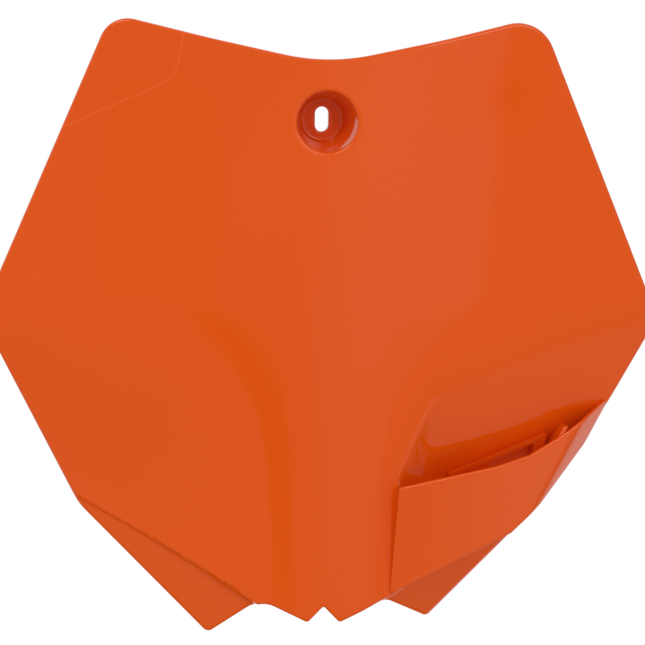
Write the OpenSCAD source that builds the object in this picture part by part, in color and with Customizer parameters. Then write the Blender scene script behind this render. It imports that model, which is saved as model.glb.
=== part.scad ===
// Front number board of an off-road motorbike, moulded in one piece from polypropylene.
// The bolt slot in the well is the origin, and the board hangs from the seat behind it.
// X runs to the viewer's right, Z up, and the face looks along -Y.

/* [Outline] */
// Width across the two side points, before they are rounded
side_w = 272.6; // [262:0.2:284]
// Drop of the side points below the slot
side_drop = 78.4; // [70:0.2:84]
// Left top corner from the middle, before it is rounded
left_top_x = 86; // [76:0.2:94]
// Rise of the left top corner above the slot
left_top_rise = 41.8; // [38:0.2:54]
// Radius of the left top corner
left_top_r = 11.4; // [6:0.2:18]
// Right top corner from the middle, before it is rounded
right_top_x = 86.2; // [76:0.2:94]
// Rise of the right top corner above the slot
right_top_rise = 42.4; // [38:0.2:54]
// Radius of the right top corner
right_top_r = 15.4; // [6:0.2:18]
// Where each half of the top edge flattens towards the dip, from the middle
top_bend_x = 47; // [42:0.5:54]
// Rise of the top edge above the slot at that place
top_bend_rise = 32.7; // [31:0.1:35]
// Radius of that soft bend
top_bend_r = 300; // [100:10:320]
// Rise of the middle of the dipped top edge above the slot, before it is rounded
dip_rise = 22.8; // [20:0.2:25]
// Radius of the dip in the top edge
dip_r = 86; // [40:2:100]
// Radius of the side points
side_r = 18; // [8:1:24]
// Where the left edge turns in, from the middle
left_break_x = 96.6; // [92:0.2:102]
// Where the left edge turns in, below the slot
left_break_drop = 153.2; // [148:0.5:156]
// Radius of the left edge's turn
left_break_r = 25; // [10:1:30]
// Where the right edge turns in, from the middle
right_break_x = 108.6; // [106:0.2:111]
// Where the right edge turns in, below the slot
right_break_drop = 130; // [128:0.5:133]
// Next corner of the right edge, behind the strap, from the middle
right_corner_x = 93.4; // [92:0.2:95]
// Next corner of the right edge, below the slot
right_corner_drop = 153; // [151:0.5:155]
// Radius of these two turns
right_break_r = 14; // [6:1:18]

/* [Lower edge] */
// Left foot, from the middle
left_foot_x = 44.8; // [40:0.2:50]
// Left foot, below the slot
left_foot_drop = 204.8; // [200:0.2:208]
// Right foot, from the middle
right_foot_x = 44.4; // [40:0.2:50]
// Right foot, below the slot
right_foot_drop = 199.4; // [197:0.2:204]
// Radius of the feet
foot_r = 2.5; // [1:0.5:4]
// Arches between the feet and the teeth, from the middle
arch_x = 25.2; // [22:0.2:28]
// Arches, below the slot
arch_drop = 189.7; // [187:0.1:192]
// Radius of the left arch
left_arch_r = 10; // [3:0.5:12]
// Radius of the right arch
right_arch_r = 6; // [2:0.5:8]
// The two teeth, from the middle
tooth_x = 6.4; // [5:0.2:10]
// The two teeth, below the slot
tooth_drop = 198.7; // [196:0.1:202]
// Radius of the teeth
tooth_r = 1.6; // [1:0.2:2.2]
// Notch between the teeth, below the slot
notch_drop = 192.2; // [190:0.2:194]

/* [Face] */
// Wall of the moulding
wall = 2.4; // [1.8:0.1:3]
// Face in front of the seat, at the slot
face_rise = 21.2; // [17:0.2:25]
// Radius of the face across the board
face_r = 770; // [500:10:2000]
// How far the face comes forward for each millimetre down
face_lean = 0.062; // [0:0.002:0.1]
// The two creases, from the middle
crease_x = 24; // [20:0.5:28]
// Where the creases start to show, below the slot
crease_start = 70; // [50:1:80]
// Length over which the creases deepen
crease_run = 110; // [90:1:130]
// Slope that the side panels gain beyond the creases
crease_slope = 0.16; // [0.05:0.01:0.2]
// Softness of the creases
crease_soft = 8; // [4:0.5:14]

/* [Mounting well] */
// Diameter of the well at the face
rim_d = 24.4; // [22:0.2:26]
// Diameter of the well's floor
floor_d = 17.6; // [15:0.2:19]
// Thickness of the floor
floor_t = 3; // [2:0.2:4]
// Width of the bolt slot
slot_w = 5.5; // [4.5:0.1:7]
// Length of the bolt slot, up and down
slot_l = 10; // [8:0.2:13]

/* [Left foot panel] */
// Turn of the panel to the left, in degrees
left_turn = 19.8; // [14:0.2:24]
// Lean of the panel downwards, in degrees
left_lean = 13.6; // [8:0.2:18]
// Step from the face down to the panel at the arch
left_step = 3; // [1:0.2:4]
// Slope of the step's line
left_line_slope = 0.594; // [0.56:0.002:0.62]
// Step's line below the slot, at the arch
left_line_drop = 192; // [190:0.2:194]

/* [Hose recess] */
// Where the recess meets the face on the crease side, from the middle
recess_x = 54.8; // [50:0.2:60]
// Where the recess meets the face, below the slot
recess_drop = 104.4; // [100:0.2:108]
// Turn of the recess to the right, in degrees
recess_turn = 11.7; // [9:0.1:14]
// Lean of the recess downwards, in degrees
recess_lean = 13.1; // [10:0.1:16]
// Lower edge of the recess, at its left end below the slot
bend_drop = 138; // [136:0.2:141]
// Turn of the wall behind the hose, in degrees
back_turn = 18; // [16:0.5:20]
// Lean of the wall behind the hose, in degrees
back_lean = 32; // [28:0.5:36]
// Turn of the recess's end next to the crease, in degrees
ramp_turn = 41; // [34:0.5:46]
// Lean of the recess's end next to the crease, in degrees
ramp_lean = 12; // [9:0.5:15]

/* [Hose strap] */
// Left edge of the strap at its top, from the middle
strap_x = 29.2; // [28:0.2:31]
// Lean of the strap's left side, which draws in towards its foot, in degrees
strap_side_lean = 3.6; // [0:0.2:5]
// Top left corner of the strap, below the slot
strap_drop = 144.4; // [142:0.2:147]
// Strap in front of the seat, at its top left corner
strap_rise = 35.3; // [33:0.1:38]
// Turn of the strap to the right, in degrees
strap_turn = 12.2; // [10:0.2:14]
// Lean of the strap, in degrees
strap_lean = 4.2; // [3:0.2:6]
// Slope of the strap's top edge, up to its bend
strap_top_slope = 0.185; // [0.15:0.005:0.22]
// Bend of the strap's top edge, from the middle
strap_bend_x = 83; // [78:0.5:88]
// Radius of the bend
strap_bend_r = 30; // [10:5:40]
// Slope of the strap's top edge beyond the bend
strap_rise_slope = 0.68; // [0.62:0.01:0.74]
// Drop of the strap's bottom edge below the slot, under its top left corner
strap_foot_drop = 186.6; // [185:0.1:188]
// Slope of the strap's bottom edge
strap_foot_slope = 0.468; // [0.45:0.002:0.48]
// Corner of the strap's end, from the middle and as low as the board's corner behind it
strap_corner_x = 89.2; // [88:0.2:91]
// Where the strap's end would come down to the height of the right foot, from the middle
strap_toe_x = 38; // [36:0.2:42]
// Width of the strap's turned-back end, in from the edge of the board
strap_return = 9; // [7:0.5:12]
// Turn of the strap's turned-back end from the rest of the strap, in degrees
return_turn = 42; // [34:1:50]
// How far the wall behind the hose runs down behind the strap
back_overlap = 9; // [7:0.5:11]
// Turn of the right foot panel, in degrees
right_turn = 31; // [27:0.5:34]
// Lean of the right foot panel, in degrees
right_lean = 21; // [17:0.5:24]
// Step from the face down to the right foot panel, at the arch
right_step = 2.4; // [1:0.2:3]

/* [Hose frame] */
// Thickness of the frame's bar and of the web behind the strap
bar_t = 1.8; // [1.4:0.1:2.2]
// How far the frame stands in front of the wall behind the hose
frame_rise = 5; // [4:0.5:7]
// Left end of the frame's bar, from the middle
bar_x0 = 52; // [48:0.5:56]
// Drop of the bar's left end below the slot
bar_drop = 141; // [139:0.5:143]
// Slope of the bar
bar_slope = 0.4; // [0.36:0.01:0.44]
// Right end of the frame's bar, from the middle
bar_x1 = 91.4; // [89:0.2:93]
// Width of the post under the right end of the bar
post_w = 5; // [3:0.5:7]
// Top of the web that ties the strap to the wall behind it, from the middle
web_x = 97.6; // [96:0.2:100]
// Top of the web, below the slot
web_drop = 121.6; // [120:0.2:124]

/* [Holding lugs] */
// Distance between the middles of the two lugs
lug_spacing = 30; // [24:1:34]
// Width of a lug
lug_w = 9; // [6:0.5:12]
// Reach of the lugs behind the wall
lug_reach = 20; // [15:0.5:26]
// Thickness of a lug
lug_t = 3; // [2:0.2:4]
// Nose that hooks down at the end of a lug
lug_nose = 5; // [3:0.5:7]
// Lugs below the slot
lug_drop = 168; // [160:1:176]

/* [Hidden] */

moulded_orange = [0.87, 0.34, 0.13];
// Half the width of the blocks that trims are made from
reach = 260;
// How far the solid body behind the face runs back
body_back = 60;
// Spacing of the face's sections, across and up
pitch_x = 7.5;
pitch_z = 15;
// Half the width, the top and the bottom of the lofted face
loft_half = 150;
loft_top = 75;
loft_bottom = -225;
// Largest turn between two points of a rounded corner, in degrees
arc_step = 12;
// Overlap of pieces that are joined
join = 0.6;

function unit(v) = v / norm(v);
function smooth(t) = let (k = min(max(t, 0), 1)) k * k * (3 - 2 * k);
function soft_ramp(d) = (sqrt(d * d + crease_soft * crease_soft) + d) / 2;

// How far the face stands in front of the seat at a place on the board
function face_at(x, z) =
    face_rise - face_lean * z - x * x / (2 * face_r)
    - crease_slope * smooth((-crease_start - z) / crease_run) * soft_ramp(abs(x) - crease_x);

// Points of an arc of radius r that rounds the corner at a point of an outline
function rounded(before, at, after, r) =
    let (
        u = unit(before - at),
        v = unit(after - at)
    )
    r == 0 || norm(u + v) < 0.01 ? [at] :
    let (
        half = acos(u * v) / 2,
        centre = at + unit(u + v) * r / sin(half),
        from = at + u * r / tan(half) - centre,
        to = at + v * r / tan(half) - centre,
        start = atan2(from[1], from[0]),
        turn = (atan2(to[1], to[0]) - start + 540) % 360 - 180,
        steps = ceil(abs(turn) / arc_step)
    )
    [for (i = [0:steps]) centre + r * [cos(start + turn * i / steps), sin(start + turn * i / steps)]];

// An outline with each of its corners [x, z, radius] rounded
function rounded_outline(corners) =
    let (n = len(corners))
    [for (i = [0:n - 1]) each rounded(
        [corners[(i + n - 1) % n][0], corners[(i + n - 1) % n][1]],
        [corners[i][0], corners[i][1]],
        [corners[(i + 1) % n][0], corners[(i + 1) % n][1]],
        corners[i][2])];

board_corners = [
    [0, dip_rise, dip_r],
    [top_bend_x, top_bend_rise, top_bend_r],
    [right_top_x, right_top_rise, right_top_r],
    [side_w / 2, -side_drop, side_r],
    [right_break_x, -right_break_drop, right_break_r],
    [right_corner_x, -right_corner_drop, right_break_r],
    [right_foot_x, -right_foot_drop, foot_r],
    [arch_x, -arch_drop, right_arch_r],
    [tooth_x, -tooth_drop, tooth_r],
    [0, -notch_drop, 0],
    [-tooth_x, -tooth_drop, tooth_r],
    [-arch_x, -arch_drop, left_arch_r],
    [-left_foot_x, -left_foot_drop, foot_r],
    [-left_break_x, -left_break_drop, left_break_r],
    [-side_w / 2, -side_drop, side_r],
    [-left_top_x, left_top_rise, left_top_r],
    [-top_bend_x, top_bend_rise, top_bend_r]
];

// The step above the left foot panel and the strap's bottom and top edges, as heights
function left_line_z(x) = -left_line_drop - left_line_slope * (x + arch_x);
function strap_foot_z(x) = -strap_foot_drop + strap_foot_slope * (x - strap_x);
function strap_top_z(x) =
    -strap_drop + strap_top_slope * (x - strap_x)
    + (strap_rise_slope - strap_top_slope) * max(x - strap_bend_x, 0);
function bar_z(x) = -bar_drop + bar_slope * (x - bar_x0);

// Where the strap's end meets its bottom edge, or a line that lies a given height above it
strap_edge_run = (strap_corner_x - strap_toe_x) / (right_foot_drop - right_corner_drop);
function strap_end_x(height) =
    (strap_toe_x + strap_edge_run * (right_foot_drop + height + strap_foot_z(0)))
    / (1 - strap_edge_run * strap_foot_slope);

// How far a flat part stands in front of the seat, at a place on the board
function plane_rise(at, turn, lean, x, z) =
    -at[1] - tan(turn) * (x - at[0]) + tan(lean) / cos(turn) * (z - at[2]);

// Left limit of the hose hole and of the recess below the strap's top, inside the strap's side
inner_x = strap_x + wall / 2;

// Places where the flat parts of the moulding are pinned: [x, y, z]
recess_at = [recess_x, -face_at(recess_x, -recess_drop), -recess_drop];
bend_at = [
    strap_x + wall,
    -plane_rise(recess_at, recess_turn, recess_lean, strap_x + wall, -bend_drop),
    -bend_drop];
ramp_at = [strap_x + wall, -face_at(strap_x + wall, -bend_drop), -bend_drop];
left_foot_at = [-arch_x, left_step - face_at(-arch_x, -left_line_drop), -left_line_drop];
right_foot_at = [arch_x, right_step - face_at(arch_x, -arch_drop), -arch_drop];
strap_at = [strap_x, -strap_rise, -strap_drop];

// The strap's turned-back end starts along a line that runs beside the board's edge
edge_run = (side_w / 2 - right_break_x) / (right_break_drop - side_drop);
return_full_turn = strap_turn + return_turn;
return_lean = atan(cos(return_full_turn) * (tan(strap_lean) / cos(strap_turn)
    + edge_run * (tan(return_full_turn) - tan(strap_turn))));
return_at = [
    right_break_x - strap_return,
    -plane_rise(strap_at, strap_turn, strap_lean, right_break_x - strap_return, -right_break_drop),
    -right_break_drop];

// All that lies in front of a flat part, or of the same part set back by an inset
module in_front(at, turn, lean, inset) {
    translate(at) rotate([lean, 0, turn])
        translate([-reach, inset - 2 * reach, -reach]) cube(2 * reach);
}

// All that lies under a line [x, z] of a given slope, moved up by an inset
module under(at, slope, inset) {
    translate([at[0], 0, at[1]]) rotate([0, -atan(slope), 0])
        translate([-reach, -reach, inset - 2 * reach]) cube(2 * reach);
}

// A flat outline in X and Z, carried right through the board
module through(points) {
    rotate([90, 0, 0]) linear_extrude(height = 2 * reach, center = true) polygon(points);
}

// Triangles of a flat side between an edge of the face and the back's corners a and b
function side_faces(edge, a, b) = concat(
    [for (i = [0:len(edge) - 2]) [edge[i], edge[i + 1], b]],
    [[edge[len(edge) - 1], a, b]]);

// Solid body behind the face, set back by an inset: sections of the face lofted to a flat back
module face_body(inset) {
    half = loft_half + inset;
    columns = ceil(2 * half / pitch_x);
    rows = ceil((loft_top - loft_bottom) / pitch_z);
    low = loft_bottom - inset;
    high = loft_top + inset;
    width = columns + 1;
    front = [for (r = [0:rows]) for (c = [0:columns])
        let (x = -half + 2 * half * c / columns, z = low + (high - low) * r / rows)
        [x, inset - face_at(x, z), z]];
    back = [for (z = [low, high]) for (x = [-half, half]) [x, body_back + inset, z]];
    b = len(front);
    top = rows * width;
    polyhedron(
        points = concat(front, back),
        faces = concat(
            [for (r = [0:rows - 1]) for (c = [0:columns - 1])
                let (p = r * width + c) each [[p, p + width, p + width + 1], [p, p + width + 1, p + 1]]],
            side_faces([for (c = [0:columns]) c], b + 1, b),
            side_faces([for (c = [columns:-1:0]) top + c], b + 2, b + 3),
            side_faces([for (r = [rows:-1:0]) r * width], b, b + 2),
            side_faces([for (r = [0:rows]) r * width + columns], b + 3, b + 1),
            [[b, b + 1, b + 3], [b, b + 3, b + 2]]));
}

// What the hose recess takes out of the body, down to a little above the strap's foot
module recess_cut(inset) {
    difference() {
        intersection() {
            in_front(ramp_at, ramp_turn, ramp_lean, inset);
            translate([inner_x - inset, -reach, -reach]) cube(2 * reach);
            union() {
                in_front(recess_at, recess_turn, recess_lean, inset);
                in_front(bend_at, back_turn, back_lean, inset);
            }
        }
        under([strap_x, strap_foot_z(strap_x) + 3 * wall], strap_foot_slope, -inset);
    }
}

// What the two foot panels take out of the body, up to the steps above them
module foot_cuts(inset) {
    intersection() {
        in_front(left_foot_at, -left_turn, left_lean, inset);
        under([-arch_x, left_line_z(-arch_x)], -left_line_slope, inset);
    }
    intersection() {
        in_front(right_foot_at, right_turn, right_lean, inset);
        under([strap_x, strap_foot_z(strap_x)], strap_foot_slope, inset);
    }
}

// The form behind the strap as a solid, set back by an inset
module body(inset) {
    difference() {
        face_body(inset);
        recess_cut(inset);
        foot_cuts(inset);
    }
}

// The strap's form as a solid, set back by an inset
module strap_body(inset) {
    difference() {
        translate([strap_x + inset / cos(strap_side_lean), -2 * strap_rise, -strap_drop])
            rotate([0, strap_side_lean, 0]) translate([0, 0, -reach])
                cube([reach, 2 * strap_rise + body_back + inset, 2 * reach]);
        in_front(strap_at, strap_turn, strap_lean, inset);
        in_front(return_at, return_full_turn, return_lean, inset);
        under([strap_x, strap_foot_z(strap_x)], strap_foot_slope, inset);
    }
}

// Hole behind the strap, where the hose passes to the back, open at the board's edge
module hose_hole() {
    x0 = inner_x;
    x1 = strap_bend_x + side_w / 4;
    low = strap_end_x(0);
    high = strap_end_x(wall);
    through([
        [x0, strap_top_z(x0) - back_overlap],
        [strap_bend_x, strap_top_z(strap_bend_x) - back_overlap],
        [x1, strap_top_z(x1) - back_overlap],
        [x1, strap_foot_z(x1)],
        [low, strap_foot_z(low)],
        [high, strap_foot_z(high) + wall],
        [x0, strap_foot_z(x0) + wall]
    ]);
}

// The strap: a flat band with a turned-back end, a left side and a floor down to the foot panel
module strap() {
    x0 = strap_x - 2 * wall;
    x1 = strap_bend_x + side_w / 4;
    intersection() {
        difference() {
            strap_body(0);
            strap_body(wall);
        }
        through(rounded_outline([
            [x0, strap_top_z(x0), 0],
            [x0, -right_foot_drop, 0],
            [strap_toe_x, -right_foot_drop, 0],
            [strap_corner_x, -right_corner_drop, right_break_r],
            [right_break_x, -right_break_drop, 0],
            [x1, strap_top_z(x1), 0],
            [strap_bend_x, strap_top_z(strap_bend_x), strap_bend_r]
        ]));
        union() {
            in_front(right_foot_at, right_turn, right_lean, wall);
            in_front([strap_x, -face_at(strap_x, -strap_drop), -strap_drop], strap_turn, 0, wall);
        }
    }
}

// Frame that stands on the wall behind the hose: a sloping bar with a post under its right end
module hose_frame() {
    intersection() {
        union() {
            through([
                [bar_x0, bar_z(bar_x0)],
                [bar_x1, bar_z(bar_x1)],
                [bar_x1, bar_z(bar_x1) - bar_t],
                [bar_x0, bar_z(bar_x0) - bar_t]
            ]);
            through([
                [bar_x1 - post_w, bar_z(bar_x1 - post_w) - bar_t / 2],
                [bar_x1, bar_z(bar_x1) - bar_t / 2],
                [bar_x1, strap_top_z(bar_x1) - back_overlap / 2],
                [bar_x1 - post_w, strap_top_z(bar_x1 - post_w) - back_overlap / 2]
            ]);
        }
        in_front(bend_at, back_turn, back_lean, wall / 2);
        difference() {
            translate([0, -reach, -reach]) cube([reach, 2 * reach, reach]);
            in_front(bend_at, back_turn, back_lean, -frame_rise);
        }
    }
}

// Thin web beside the board's edge, between the strap and the wall behind the hose
module hose_web() {
    foot = strap_top_z(web_x) - back_overlap;
    run = edge_run * (foot + web_drop);
    intersection() {
        through([
            [web_x, -web_drop],
            [web_x + bar_t, -web_drop],
            [web_x + bar_t + run, foot],
            [web_x + run, foot]
        ]);
        in_front(bend_at, back_turn, back_lean, wall / 2);
        difference() {
            translate([0, -reach, -reach]) cube([reach, 2 * reach, reach]);
            in_front(strap_at, strap_turn, strap_lean, wall / 2);
        }
    }
}

// Cup of the mounting well, from the seat at its back to the face
module well_cup() {
    taper = (rim_d - floor_d) / 2 / (face_rise - floor_t);
    intersection() {
        rotate([90, 0, 0]) rotate_extrude() polygon([
            [0, 0],
            [floor_d / 2 + wall, 0],
            [floor_d / 2 + wall + taper * (face_rise + wall - floor_t), face_rise + wall],
            [0, face_rise + wall]
        ]);
        face_body(join);
    }
}

// Inside of the mounting well, with the bolt slot in its floor
module well_hollow() {
    taper = (rim_d - floor_d) / 2 / (face_rise - floor_t);
    rotate([90, 0, 0]) rotate_extrude() polygon([
        [0, floor_t],
        [floor_d / 2, floor_t],
        [floor_d / 2 + taper * (face_rise + wall - floor_t), face_rise + wall],
        [0, face_rise + wall]
    ]);
    rotate([90, 0, 0]) translate([0, 0, -wall]) linear_extrude(height = floor_t + 2 * wall) {
        for (side = [-1, 1]) translate([0, side * (slot_l - slot_w) / 2]) circle(d = slot_w);
        square([slot_w, slot_l - slot_w], center = true);
    }
}

// Lug that hooks behind the mudguard, at its place across the board
module lug(x) {
    front = -face_at(x, -lug_drop) + wall / 2;
    translate([x - lug_w / 2, front, -lug_drop]) cube([lug_w, lug_reach + wall / 2, lug_t]);
    translate([x - lug_w / 2, front + lug_reach + wall / 2 - lug_t, -lug_drop - lug_nose])
        cube([lug_w, lug_t, lug_nose + join]);
}

module number_board() {
    color(moulded_orange) union() {
        difference() {
            union() {
                intersection() {
                    through(rounded_outline(board_corners));
                    union() {
                        difference() {
                            body(0);
                            body(wall);
                            hose_hole();
                        }
                        strap();
                    }
                }
                well_cup();
            }
            well_hollow();
        }
        hose_frame();
        hose_web();
        lug(-lug_spacing / 2);
        lug(lug_spacing / 2);
    }
}

$fn = 64;
number_board();
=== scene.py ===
"""Front number board of an off-road motorbike: one glossy orange moulding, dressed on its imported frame."""

import logging
import math
from dataclasses import dataclass, field
from enum import Enum
from typing import Callable, Sequence, Union

import bmesh
import bpy
from mathutils import Matrix, Vector


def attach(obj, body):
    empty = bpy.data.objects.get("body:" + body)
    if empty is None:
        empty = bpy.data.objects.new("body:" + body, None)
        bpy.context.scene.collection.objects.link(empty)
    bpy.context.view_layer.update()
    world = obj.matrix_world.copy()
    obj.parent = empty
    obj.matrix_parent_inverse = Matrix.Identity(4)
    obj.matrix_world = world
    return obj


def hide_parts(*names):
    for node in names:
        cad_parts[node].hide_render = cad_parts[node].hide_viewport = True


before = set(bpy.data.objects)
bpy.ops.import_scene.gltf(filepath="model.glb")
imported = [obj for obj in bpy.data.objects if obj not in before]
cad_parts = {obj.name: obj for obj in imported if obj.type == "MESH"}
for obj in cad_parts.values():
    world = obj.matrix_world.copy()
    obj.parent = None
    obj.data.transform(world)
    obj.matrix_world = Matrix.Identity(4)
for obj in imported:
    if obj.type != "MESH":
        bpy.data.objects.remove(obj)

log = logging.getLogger("number_board")

NODE = "number_board"
BODY = "root"

Point = tuple[float, float]
Corner = tuple[float, float, float]
Row = Sequence[tuple[float, float, float]]
Rise = Callable[[float, float], float]
Pick = Callable[[Vector], bool]


def clamp(value: float) -> float:
    """Limit a value to 0 to 1."""
    return min(max(value, 0.0), 1.0)


def smooth(value: float) -> float:
    """Ease from 0 to 1 as the value goes from 0 to 1."""
    k = clamp(value)
    return k * k * (3.0 - 2.0 * k)


def soft_min(a: float, b: float, blend: float) -> float:
    """Lower of two heights, rounded where they are nearer to each other than the blend."""
    near = max(blend - abs(a - b), 0.0) / blend
    return min(a, b) - near * near * blend / 4.0


def soft_max(a: float, b: float, blend: float) -> float:
    """Higher of two heights, rounded where they are nearer to each other than the blend."""
    return -soft_min(-a, -b, blend)


def mix(a: float, b: float, share: float) -> float:
    """Value a given share of the way from a to b."""
    return a + (b - a) * share


def fillet(radius: float, steps: int) -> list[Point]:
    """Quarter of a rounded edge, from the face to the side.

    Args:
        radius: Radius of the edge.
        steps: Steps in the quarter.

    Returns:
        Distances in from the side, each with its drop from the face.
    """
    angles = [math.radians(90 * k / steps) for k in range(steps + 1)]
    return [(radius * (1 - math.sin(a)), radius * (1 - math.cos(a))) for a in angles]


class Side(Enum):
    """The two faces of the moulded wall."""

    FRONT = "front"
    BACK = "back"


@dataclass(frozen=True)
class Flat:
    """A flat part of the moulding, pinned at a place and turned.

    Attributes:
        x: Place across the board.
        rise: Place in front of the seat.
        z: Place up the board.
        turn: Turn to the right, in degrees.
        lean: Lean downwards, in degrees.
    """

    x: float
    rise: float
    z: float
    turn: float
    lean: float

    def rise_at(self, x: float, z: float) -> float:
        """How far the flat part stands in front of the seat at a place."""
        turn, lean = math.radians(self.turn), math.radians(self.lean)
        return (self.rise - math.tan(turn) * (x - self.x)
                + math.tan(lean) / math.cos(turn) * (z - self.z))

    def set_back(self, inset: float) -> "Flat":
        """The same part moved back square to its own face.

        Args:
            inset: How far it moves.

        Returns:
            The moved part.
        """
        turn, lean = math.radians(self.turn), math.radians(self.lean)
        return Flat(self.x, self.rise - inset / (math.cos(turn) * math.cos(lean)),
                    self.z, self.turn, self.lean)


@dataclass(frozen=True)
class Line:
    """A sloping line on the board, given by a point and a slope."""

    x: float
    z: float
    slope: float

    def z_at(self, x: float) -> float:
        """Height of the line at a place across the board."""
        return self.z + self.slope * (x - self.x)

    def below(self, x: float, z: float) -> float:
        """How far a place lies below the line, square to it."""
        return (self.z_at(x) - z) / math.hypot(1.0, self.slope)


@dataclass
class BoardForm:
    """Sizes of the moulding in metres, and the heights that follow from them.

    The board is drawn in X and Z, and a rise is a distance in front of the seat, along -Y.
    """

    side_w: float = 0.2726
    side_drop: float = 0.0784
    left_top_x: float = 0.086
    left_top_rise: float = 0.0418
    left_top_r: float = 0.0114
    right_top_x: float = 0.0862
    right_top_rise: float = 0.0424
    right_top_r: float = 0.0154
    top_bend_x: float = 0.047
    top_bend_rise: float = 0.0327
    top_bend_r: float = 0.300
    dip_rise: float = 0.0228
    dip_r: float = 0.086
    side_r: float = 0.018
    left_break_x: float = 0.0966
    left_break_drop: float = 0.1532
    left_break_r: float = 0.025
    right_break_x: float = 0.1086
    right_break_drop: float = 0.130
    right_corner_x: float = 0.0934
    right_corner_drop: float = 0.153
    right_break_r: float = 0.014
    left_foot_x: float = 0.0448
    left_foot_drop: float = 0.2048
    right_foot_x: float = 0.0444
    right_foot_drop: float = 0.1994
    foot_r: float = 0.0025
    arch_x: float = 0.0252
    arch_drop: float = 0.1897
    left_arch_r: float = 0.010
    right_arch_r: float = 0.006
    tooth_x: float = 0.0064
    tooth_drop: float = 0.1987
    tooth_r: float = 0.0016
    notch_drop: float = 0.1922
    notch_r: float = 0.0009
    wall: float = 0.0024
    face_rise: float = 0.0212
    face_r: float = 0.770
    face_lean: float = 0.062
    crease_x: float = 0.024
    crease_start: float = 0.070
    crease_run: float = 0.110
    crease_slope: float = 0.16
    crease_soft: float = 0.008
    left_turn: float = 19.8
    left_lean: float = 13.6
    left_step: float = 0.003
    left_line_slope: float = 0.594
    left_line_drop: float = 0.192
    left_line_bow: float = 0.0008
    left_bow_x: float = -0.058
    left_bow_w: float = 0.036
    recess_x: float = 0.0548
    recess_drop: float = 0.1044
    recess_turn: float = 11.7
    recess_lean: float = 13.1
    bend_drop: float = 0.138
    back_turn: float = 18.0
    back_lean: float = 32.0
    ramp_turn: float = 41.0
    ramp_lean: float = 12.0
    strap_x: float = 0.0292
    strap_side_lean: float = 3.6
    strap_drop: float = 0.1444
    strap_rise: float = 0.0353
    strap_turn: float = 12.2
    strap_lean: float = 4.2
    strap_top_slope: float = 0.185
    strap_bend_x: float = 0.083
    strap_bend_blend: float = 0.0125
    strap_rise_slope: float = 0.68
    strap_foot_drop: float = 0.1866
    strap_foot_slope: float = 0.468
    strap_corner_x: float = 0.0892
    strap_toe_x: float = 0.038
    strap_return: float = 0.009
    return_turn: float = 42.0
    back_overlap: float = 0.009
    right_turn: float = 31.0
    right_lean: float = 21.0
    right_step: float = 0.0024
    step_run: float = 0.0013
    cliff_x: float = 0.0296
    cliff_run: float = 0.001
    recess_walls: float = 2.2
    crease_blend: float = 0.0009
    ramp_blend: float = 0.003
    bend_blend: float = 0.0024
    return_blend: float = 0.0022

    def __post_init__(self) -> None:
        """Work out the flat parts and lines from the sizes."""
        self.recess = Flat(self.recess_x, self.face(self.recess_x, -self.recess_drop),
                           -self.recess_drop, self.recess_turn, self.recess_lean)
        start = self.strap_x + self.wall
        self.back_wall = Flat(start, self.recess.rise_at(start, -self.bend_drop),
                              -self.bend_drop, self.back_turn, self.back_lean)
        self.ramp = Flat(start, self.face(start, -self.bend_drop),
                         -self.bend_drop, self.ramp_turn, self.ramp_lean)
        self.left_foot = Flat(-self.arch_x,
                              self.face(-self.arch_x, -self.left_line_drop) - self.left_step,
                              -self.left_line_drop, -self.left_turn, self.left_lean)
        self.right_foot = Flat(self.arch_x,
                               self.face(self.arch_x, -self.arch_drop) - self.right_step,
                               -self.arch_drop, self.right_turn, self.right_lean)
        self.strap = Flat(self.strap_x, self.strap_rise, -self.strap_drop,
                          self.strap_turn, self.strap_lean)
        self.left_line = Line(-self.arch_x, -self.left_line_drop, -self.left_line_slope)
        self.foot_line = Line(self.strap_x, -self.strap_foot_drop, self.strap_foot_slope)
        self.strap_end = self._strap_end()

    def edge_run(self) -> float:
        """How far the board's lower right edge runs across for each step up."""
        return (self.side_w / 2 - self.right_break_x) / (self.right_break_drop - self.side_drop)

    def _strap_end(self) -> Flat:
        """The strap's turned-back end, which starts along a line beside the board's edge."""
        turn = self.strap_turn + self.return_turn
        full, part = math.radians(turn), math.radians(self.strap_turn)
        lean = math.cos(full) * (math.tan(math.radians(self.strap_lean)) / math.cos(part)
                                 + self.edge_run() * (math.tan(full) - math.tan(part)))
        x = self.right_break_x - self.strap_return
        return Flat(x, self.strap.rise_at(x, -self.right_break_drop), -self.right_break_drop,
                    turn, math.degrees(math.atan(lean)))

    def face(self, x: float, z: float) -> float:
        """Rise of the main face, with its two soft creases."""
        side = abs(x) - self.crease_x
        ramp = (math.hypot(side, self.crease_soft) + side) / 2
        return (self.face_rise - self.face_lean * z - x * x / (2 * self.face_r)
                - self.crease_slope * smooth((-self.crease_start - z) / self.crease_run) * ramp)

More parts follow.
